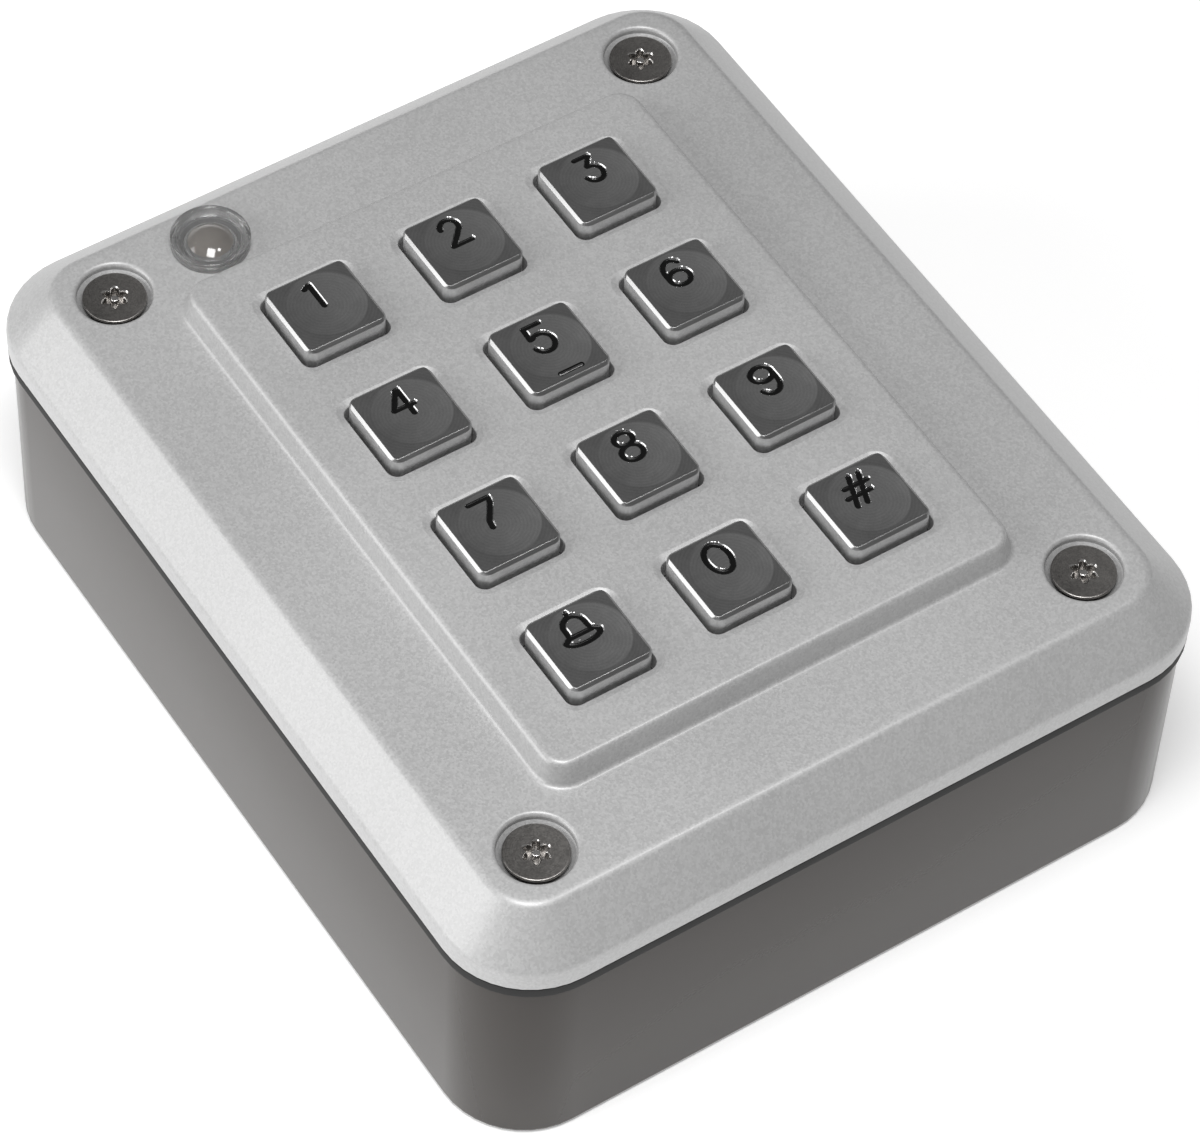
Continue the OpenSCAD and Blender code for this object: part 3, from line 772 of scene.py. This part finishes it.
# %% Holes in the box
HOLE_STEPS = 40
INSERT_R, INSERT_MEET = 2.85, 0.5
GROMMET_R, GROMMET_SEAT_R, GROMMET_SEAT = 8.05, 10.3, 1.0
insert_hole, screw_hole = circle(INSERT_R, HOLE_STEPS), circle(HOLE_R, HOLE_STEPS)
for at in screw_at:
    combine(box_piece, block("hole", insert_hole, insert_low.z, insert_high.z + OVER, paint, at))
    combine(box_piece, block("hole", screw_hole, FLOOR + OVER, insert_low.z + INSERT_MEET, paint, at))
wall_mount = next(m for m in frame["record"]["mounts"] if m["name"] == "wall_screws")["dims"]
wall_hole = circle(wall_mount["hole_r_mm"], HOLE_STEPS)
for at in corners(wall_mount["spacing_x_mm"] / 2, wall_mount["spacing_y_mm"] / 2):
    combine(box_piece, block("hole", wall_hole, -OVER, FLOOR + OVER, paint, at))
grommet_at = middle("cable_grommet").xy
combine(box_piece, block("hole", circle(GROMMET_R), -OVER, FLOOR + OVER, paint, grommet_at))
combine(box_piece, block("hole", circle(GROMMET_SEAT_R), -OVER, GROMMET_SEAT, paint, grommet_at))
tidy(box_piece)
stand_for(box_piece, "housing", "back_box")

# %% Seal
gasket_low, gasket_high = box_mm("cover_gasket")
SEAL_BACK, SEAL_HANG, SEAL_LIP, SEAL_RUN = 0.04, 0.8, 0.4, 1.0
SEAL_EDGES = (0.03, 0.03, 0.1, 0.1)
print(f"box wall {half_x - box_high.x:.2f} mm inside the cover's edge")
print(f"seal {gasket_high.z - gasket_low.z:.2f} mm thick")
seal = Skin()
seal_path = eased(
    [
        (-SEAL_RUN, gasket_low.z), (-SEAL_LIP, gasket_low.z), (-SEAL_LIP, gasket_low.z - SEAL_HANG),
        (0, gasket_low.z - SEAL_HANG), (0, gasket_high.z), (-SEAL_RUN, gasket_high.z)
    ],
    SEAL_EDGES
)
seal_low, seal_high = seal.swept(half_x - SEAL_BACK, half_y - SEAL_BACK, CORNER - SEAL_BACK, seal_path)
inner_low, inner_high = seal.swept(
    inner_x, inner_y, inner_corner, [(0, gasket_low.z), (0, gasket_high.z)]
)
seal.band(seal_low, inner_low)
seal.band(seal_high, inner_high)
seal_piece = seal.make("cover_gasket_rubber", [black_rubber])
stand_for(seal_piece, "housing", "cover_gasket")

# %% [markdown]
# ## Keys
# Each key is a solid metal block with a ground 45 degree edge, a flange that keeps it behind the panel, and
# a round stem. It has three metal finishes: circles of polish on its top, plain satin on its sides, and a
# darker satin on the ground edge. Its top also carries a painted sheen, brighter towards its right side.
# Its legend is milled with a small cutter and filled with black paint, so each stroke is a groove with
# bright walls and a dark floor. A legend is described by the middle lines of its strokes, in millimetres
# from the middle of the key. Cutting grooves with booleans leaves long thin faces, so the part of the face
# that holds the legend is a fine net instead, sunk by its distance from the nearest stroke, and the net's
# points near an edge of the groove slide onto it. Key 5 also has a bar to find it by. The bar is level
# with the top and lies in a narrow dark groove, and as both are plain shapes, booleans cut the groove and
# join the bar.

# %% Legend strokes
STROKE_STEPS = 24


def arc(cx, cy, rx, ry, start, end, steps=STROKE_STEPS):
    """Points along part of an ellipse, angles in degrees."""
    turn = [math.radians(start + (end - start) * i / steps) for i in range(steps + 1)]
    return [(cx + rx * math.cos(a), cy + ry * math.sin(a)) for a in turn]


def bent(points, radius):
    """A stroke of straight lines with rounded bends."""
    return eased(points, [radius] * (len(points) - 2))


def loop(cx, cy, rx, ry):
    """A closed oval stroke."""
    return arc(cx, cy, rx, ry, 0, 360, 2 * STROKE_STEPS)


LEGENDS = {
    "1": [bent([(-0.85, 3.35), (-0.03, 3.85), (-0.03, 0.1)], 0.1)],
    "2": [arc(-0.15, 2.85, 1.15, 1.15, 178, -30) + [(-1.25, -0.05), (1.3, -0.05)]],
    "3": [bent([(-0.8, 4.0), (1.2, 4.0), (0.1, 2.45)], 0.12), arc(0.3, 1.2, 1.2, 1.22, 95, -165)],
    "4": [[(0.53, -0.1), (0.53, 3.85), (0.25, 3.85), (-1.4, 1.2), (1.25, 1.2)]],
    "5": [[(0.95, 3.93), (-1.15, 3.93), (-1.25, 2.1)] + arc(-0.1, 1.06, 1.38, 1.42, 130, -162)],
    "6": [loop(0.1, 1.15, 1.33, 1.15), arc(0.1, 2.15, 1.33, 1.85, 42, 180) + [(-1.23, 1.15)]],
    "7": [[(-1.5, 4.05), (1.1, 4.05)] + bent([(1.1, 4.05), (1.0, 3.3), (-0.5, 1.0), (-0.68, 0.0)], 1.0)],
    "8": [loop(-0.03, 3.05, 1.15, 0.96), loop(-0.12, 0.93, 1.32, 1.14)],
    "9": [loop(-0.03, 2.82, 1.36, 1.14), [(1.33, 2.8)] + arc(-0.05, 1.35, 1.38, 1.6, 0, -150)],
    "0": [loop(-0.25, 1.9, 1.45, 2.08)],
    "hash": [
        [(0.05, 3.95), (-1.4, -0.15)], [(1.4, 3.95), (-0.05, -0.15)],
        [(-1.4, 2.65), (1.75, 2.65)], [(-1.85, 1.25), (1.35, 1.25)]
    ],
    "bell": [
        bent([(-2.5, 0.7), (-1.7, 1.3), (-1.65, 2.0)], 0.4) + arc(-0.3, 2.35, 1.35, 1.45, 180, 0)
        + bent([(1.05, 2.0), (1.15, 1.3), (1.95, 0.75)], 0.4),
        [(-1.6, 1.15), (1.1, 1.15)], arc(-0.27, 0.75, 2.25, 0.95, 183, 357), [(-0.3, 3.8), (-0.3, 4.35)]
    ],
}
print("legends:", ", ".join(LEGENDS))

# %% The engraved part of a face
GROOVE_HALF, FILL_HALF = 0.43, 0.33
WALL_DEEP, FILL_DISH = 0.13, 0.12
NET, SAMPLE, HAIR = 0.08, 0.03, 1e-6


def stroke_tree(strokes):
    """A search tree of close points along the strokes."""
    dots = []
    for path in strokes:
        for a, b in zip(path, path[1:]):
            a, b = Vector((*a, 0)), Vector((*b, 0))
            count = max(1, math.ceil((b - a).length / SAMPLE))
            dots += [a.lerp(b, i / count) for i in range(count + 1)]
    tree = kdtree.KDTree(len(dots))
    for i, dot in enumerate(dots):
        tree.insert(dot, i)
    tree.balance()
    return tree, dots


def groove_depth(distance):
    """Depth of the face at a distance from the nearest stroke: the wall, then the dished fill."""
    if distance >= GROOVE_HALF:
        return 0.0
    if distance >= FILL_HALF:
        return WALL_DEEP * (GROOVE_HALF - distance) / (GROOVE_HALF - FILL_HALF)
    return WALL_DEEP + FILL_DISH * math.sqrt(1 - (distance / FILL_HALF) ** 2)


def engrave(skin, strokes, at, top):
    """Adds the net that holds a legend, and returns its border."""
    tree, dots = stroke_tree(strokes)
    reach = GROOVE_HALF + NET
    left, right = min(d.x for d in dots) - reach, max(d.x for d in dots) + reach
    low, high = min(d.y for d in dots) - reach, max(d.y for d in dots) + reach
    columns, rows = math.ceil((right - left) / NET), math.ceil((high - low) / NET)
    first, sunk = len(skin.points), []
    for row in range(rows + 1):
        for column in range(columns + 1):
            spot = Vector((left + column * NET, low + row * NET, 0))
            near, _, distance = tree.find(spot)
            for edge in (GROOVE_HALF, FILL_HALF):
                if abs(distance - edge) < NET / 2:
                    spot, distance = near + (spot - near).normalized() * edge, edge
            skin.points.append((spot.x + at.x, spot.y + at.y, top - groove_depth(distance)))
            sunk.append(distance <= FILL_HALF + HAIR)
    wide = columns + 1
    for row in range(rows):
        for column in range(columns):
            corner = row * wide + column
            quad = [corner, corner + 1, corner + 1 + wide, corner + wide]
            skin.faces.append([first + i for i in quad])
            skin.finish.append(FILL_PART if all(sunk[i] for i in quad) else TOP_PART)
    border = [*range(columns)]
    border += [row * wide + columns for row in range(rows)]
    border += [rows * wide + i for i in range(columns, 0, -1)]
    border += [row * wide for row in range(rows, 0, -1)]
    return [first + i for i in border]


# %% The key body
KEY_HALF, KEY_CORNER, TOP_CORNER = 5.5, 1.35, 0.5
KEY_BEVEL, BEVEL_EASE = 0.38, (0.12, 0.14)
FLANGE_HALF, FLANGE_CORNER, FLANGE_T = 6.75, 2.3, 1.0
KEY_TALL, STEM_R, STEM_STEPS = 6.1, 2.0, 40
HIDDEN_EDGE, STEM_RUN, FLANGE_RUN, TOP_RUN = 0.2, 0.5, 0.8, 0.1
TOP_PART, FILL_PART, SIDE_PART, EDGE_PART = 0, 1, 2, 3
key_finishes = [satin_chrome, legend_fill, key_side, key_edge]


def corner_at(offset):
    """Corner radius of the key block, which is tighter on its ground top edge."""
    ground = min(1.0, -offset / KEY_BEVEL)
    return KEY_CORNER + (TOP_CORNER - KEY_CORNER) * ground


def key_body(name, at):
    """A key with its flange, stem and legend, standing where the frame has it."""
    low, high = box_mm("key_" + name)
    flange_z = high.z - KEY_TALL
    shoulder_z = flange_z + FLANGE_T
    skin = Skin()
    stem_path = eased([(STEM_R - STEM_RUN, low.z), (STEM_R, low.z), (STEM_R, flange_z)], [HIDDEN_EDGE])
    stem_end, stem_top = skin.turned(stem_path, at, steps=STEM_STEPS)
    skin.flat(stem_end)
    flange_path = eased(
        [(-FLANGE_RUN, flange_z), (0, flange_z), (0, shoulder_z), (-FLANGE_RUN, shoulder_z)],
        [HIDDEN_EDGE, HIDDEN_EDGE]
    )
    under, flange_top = skin.swept(FLANGE_HALF, FLANGE_HALF, FLANGE_CORNER, flange_path, at)
    skin.flat(under, [stem_top])
    path = eased(
        [
            (0, shoulder_z), (0, high.z - KEY_BEVEL), (-KEY_BEVEL, high.z),
            (-KEY_BEVEL - TOP_RUN, high.z)
        ],
        BEVEL_EASE
    )
    rings_up = [(rounded(KEY_HALF + d, KEY_HALF + d, corner_at(d)), z) for d, z in path]
    foot = skin.stack(rings_up[:2], at, SIDE_PART)[0]
    top = skin.stack(rings_up[1:], at, EDGE_PART)[1]
    skin.band(flange_top, foot, SIDE_PART)
    skin.flat(top, [engrave(skin, LEGENDS[name], at, high.z)], TOP_PART)
    return skin.make("key_" + name + "_metal", key_finishes)


# %% The bar on key 5
BAR_HALF_X, BAR_HALF_Y, BAR_EDGE = 1.65, 0.22, 0.12
BAR_SINK, BAR_GROOVE, BAR_AT = 0.2, 0.13, Vector((0.45, -4.1))
END_FLAT = 0.01  # keeps the round ends from closing to a point


def add_bar(key, at):
    """Cuts the narrow groove and sets the bar in it, level with the key's top."""
    spot = at + BAR_AT
    groove_x, groove_y = BAR_HALF_X + BAR_GROOVE, BAR_HALF_Y + BAR_GROOVE
    outline = rounded(groove_x, groove_y, groove_y - END_FLAT)
    combine(key, block("groove", outline, key_z - BAR_SINK, key_z + OVER, [legend_fill], spot))
    bar = Skin()
    path = eased([(0, key_z - 2 * BAR_SINK), (0, key_z), (-BAR_HALF_Y / 2, key_z)], [BAR_EDGE])
    bar_low, bar_top = bar.swept(BAR_HALF_X, BAR_HALF_Y, BAR_HALF_Y - END_FLAT, path, spot)
    bar.flat(bar_low)
    bar.flat(bar_top)
    combine(key, bar.make("bar", [key_edge]), "UNION")
    tidy(key)


# %% Make the twelve keys
for name, at in key_at.items():
    key = key_body(name, at)
    if name == "5":
        add_bar(key, at)
    face_uv(key, [at])
    stand_for(key, f"key_{name}_moving", "key_" + name)

# %% [markdown]
# ## Security screws
# The screws have flat dark heads, sunk a little below the border. The drive is a six-lobed recess with a
# pin in its middle, and its edges are worn bright by the driver. The head is turned, so its top carries
# faint circles and a painted sheen that is brighter towards its right side. The recess is an outline too,
# a circle whose radius swells six times, so the ring stacker draws it without a cut.

# %% Cover screws
SHANK_R, SCREW_LEN, TIP_CHAMFER = 1.95, 16.0, 0.4
HEAD_EDGE, HEAD_RUN, EDGE_STEPS = 0.14, 0.3, 3
LOBES, LOBE_STEPS, LOBE_OUT, LOBE_IN, LOBE_ROUND = 6, 72, 1.62, 1.0, 0.8
DRIVE_DEEP, DRIVE_RIM, DRIVE_DRAFT = 1.2, 0.17, 0.06
PIN_R, PIN_LOW, PIN_EDGE, PIN_RUN, PIN_STEPS = 0.5, 0.18, 0.15, 0.35, 24
STEEL_PART, WORN_PART = 0, 1
head_z = screw_high.z


def lobed(extra):
    """Outline of a six-lobed recess, grown outward by extra."""
    points = []
    for i in range(LOBE_STEPS):
        a = math.tau * i / LOBE_STEPS
        wave = 0.5 + 0.5 * math.cos(LOBES * a)
        r = LOBE_IN + (LOBE_OUT - LOBE_IN) * wave ** LOBE_ROUND + extra
        points.append((r * math.cos(a), r * math.sin(a)))
    return points


tip_z = head_z - SCREW_LEN
shank_path = [
    (SHANK_R - TIP_CHAMFER, tip_z), (SHANK_R, tip_z + TIP_CHAMFER),
    (SHANK_R, head_z - HEAD_RIM - HEAD_R + SHANK_R)
]
head_path = eased(
    [(HEAD_R, head_z - HEAD_RIM), (HEAD_R, head_z), (HEAD_R - HEAD_RUN, head_z)], [HEAD_EDGE], EDGE_STEPS
)
drive_z, pin_z = head_z - DRIVE_DEEP, head_z - PIN_LOW
pin_path = eased([(PIN_R, drive_z), (PIN_R, pin_z), (PIN_R - PIN_RUN, pin_z)], [PIN_EDGE], EDGE_STEPS)
screws = Skin()
for at in screw_at:
    shank_end, head_edge = screws.turned(shank_path + head_path, at)
    screws.flat(shank_end)
    rim_out = screws.ring(lobed(DRIVE_RIM), head_z, at)
    rim_in = screws.ring(lobed(0), head_z - DRIVE_RIM, at)
    floor_ring = screws.ring(lobed(-DRIVE_DRAFT), drive_z, at)
    screws.flat(head_edge, [rim_out])
    screws.band(rim_out, rim_in, WORN_PART)
    screws.band(rim_in, floor_ring, STEEL_PART)
    pin_foot, pin_top = screws.turned(pin_path, at, WORN_PART, PIN_STEPS)
    screws.flat(floor_ring, [pin_foot])
    screws.flat(pin_top, finish=WORN_PART)
screw_piece = screws.make("cover_screws_steel", [dark_steel, bright_edge])
face_uv(screw_piece, screw_at)
stand_for(screw_piece, "housing", "cover_screws")

# %% [markdown]
# ## Status light
# A clear moulded lens sits on the border with a raised rim round a shallow dish, and a smoked crown in the
# middle of the dish spreads the light. The light's round nose stands up in a vaulted hollow under the
# crown. The lens is one turned shape, and only its crown has the second finish, because two clear pieces
# that touch would show a false line between them.

# %% Round crowns
NOSE_STEPS, CROWN_STEPS = 12, 9
TIP_SHARE = 0.4  # the last ring stays this share of a step short of the tip


def nose(r, z):
    """The upper part of a round nose, from its edge to just short of its tip."""
    turns = [math.radians(90 * i / (NOSE_STEPS + TIP_SHARE)) for i in range(NOSE_STEPS + 1)]
    return [(r * math.cos(a), z + r * math.sin(a)) for a in turns]


def crown(r, z, rise):
    """A low round crown standing on radius r at height z, to just short of its middle."""
    big = (r ** 2 + rise ** 2) / (2 * rise)
    slope = math.asin(r / big)
    turns = [slope * (1 - i / (CROWN_STEPS - 1 + TIP_SHARE)) for i in range(CROWN_STEPS)]
    return [(big * math.sin(a), z + rise - big + big * math.cos(a)) for a in turns]


# %% The lens
RIM_WIDE, DISH_SLOPE, LENS_DISH, WINDOW = 0.6, 0.4, 1.0, 0.5
LENS_EDGES, TAIL_RUN = (0.15, 0.1, 0.12, 0.22, 0.14, 0.25), 0.6
CENTRE_R, CENTRE_RISE = 2.75, 0.95
HOLLOW_R, HOLLOW_EDGE, VAULT_R, VAULT_RISE = 3.25, 0.4, 2.4, 0.8
CENTRE_PART = 1
lens_top = lens_high.z
dish_z, dish_r = lens_top - LENS_DISH, lens_r - RIM_WIDE - DISH_SLOPE
lens = Skin()
lens_path = eased(
    [
        (tail_r - TAIL_RUN, lens_low.z), (tail_r, lens_low.z), (tail_r, border_z), (lens_r, border_z),
        (lens_r, lens_top), (lens_r - RIM_WIDE, lens_top), (dish_r, dish_z), (CENTRE_R, dish_z)
    ],
    LENS_EDGES
)
outer_low = lens.turned(lens_path, lens_at)[0]
centre_top = lens.turned(crown(CENTRE_R, dish_z, CENTRE_RISE), lens_at, CENTRE_PART)[1]
lens.flat(centre_top, finish=CENTRE_PART)
hollow_z = dish_z - WINDOW
hollow_path = eased([(HOLLOW_R, lens_low.z), (HOLLOW_R, hollow_z), (VAULT_R, hollow_z)], [HOLLOW_EDGE])
vault_path = crown(VAULT_R, hollow_z, VAULT_RISE)
hollow_low, hollow_top = lens.turned(hollow_path + vault_path[1:], lens_at)
lens.flat(hollow_top)
lens.flat(outer_low, [hollow_low])
lens_piece = lens.make("led_lens_clear", [clear_lens, lens_centre])
stand_for(lens_piece, "housing", "led_lens")

# %% The light
LED_R, FLANGE_WIDE, FLANGE_TALL = 2.5, 0.4, 1.0
led_low, led_high = box_mm("status_led")
print(f"light's tip {hollow_z + VAULT_RISE - led_high.z:.2f} mm below the hollow's vault")
led = Skin()
flange_r, flange_top = LED_R + FLANGE_WIDE, led_low.z + FLANGE_TALL
flange_path = [(flange_r, led_low.z), (flange_r, flange_top), (LED_R, flange_top)]
led_foot, led_tip = led.turned(flange_path + nose(LED_R, led_high.z - LED_R), lens_at)
led.flat(led_foot)
led.flat(led_tip)
led_piece = led.make("status_led_resin", [led_resin])
stand_for(led_piece, "housing", "status_led")

# %% [markdown]
# ## Floor
# A plain pale floor under the reader. It is painted board, nearly white, with a very faint unevenness. It
# glows a little, which keeps it pale where the soft boxes hardly reach. More lamps could do that, but they
# would show in the keys.

# %% Pale floor
FLOOR_HALF, FLOOR_CORNER, FLOOR_DROP = 4000, 100, 0.02
floor_paint = finish(
    "floor_paint", grey(0.93), grey(0.97), (0.7, 0.8), grain_mm=2.0, bump_mm=0.005, mottle_mm=300.0,
    Emission_Strength=0.30
)
glow = floor_paint.node_tree.nodes["Principled BSDF"].inputs["Emission Color"]
glow.default_value = (1, 1, 1, 1)
ground = Skin()
ground.flat(ground.ring(rounded(FLOOR_HALF, FLOOR_HALF, FLOOR_CORNER), -FLOOR_DROP))
floor = ground.make("floor", [floor_paint])
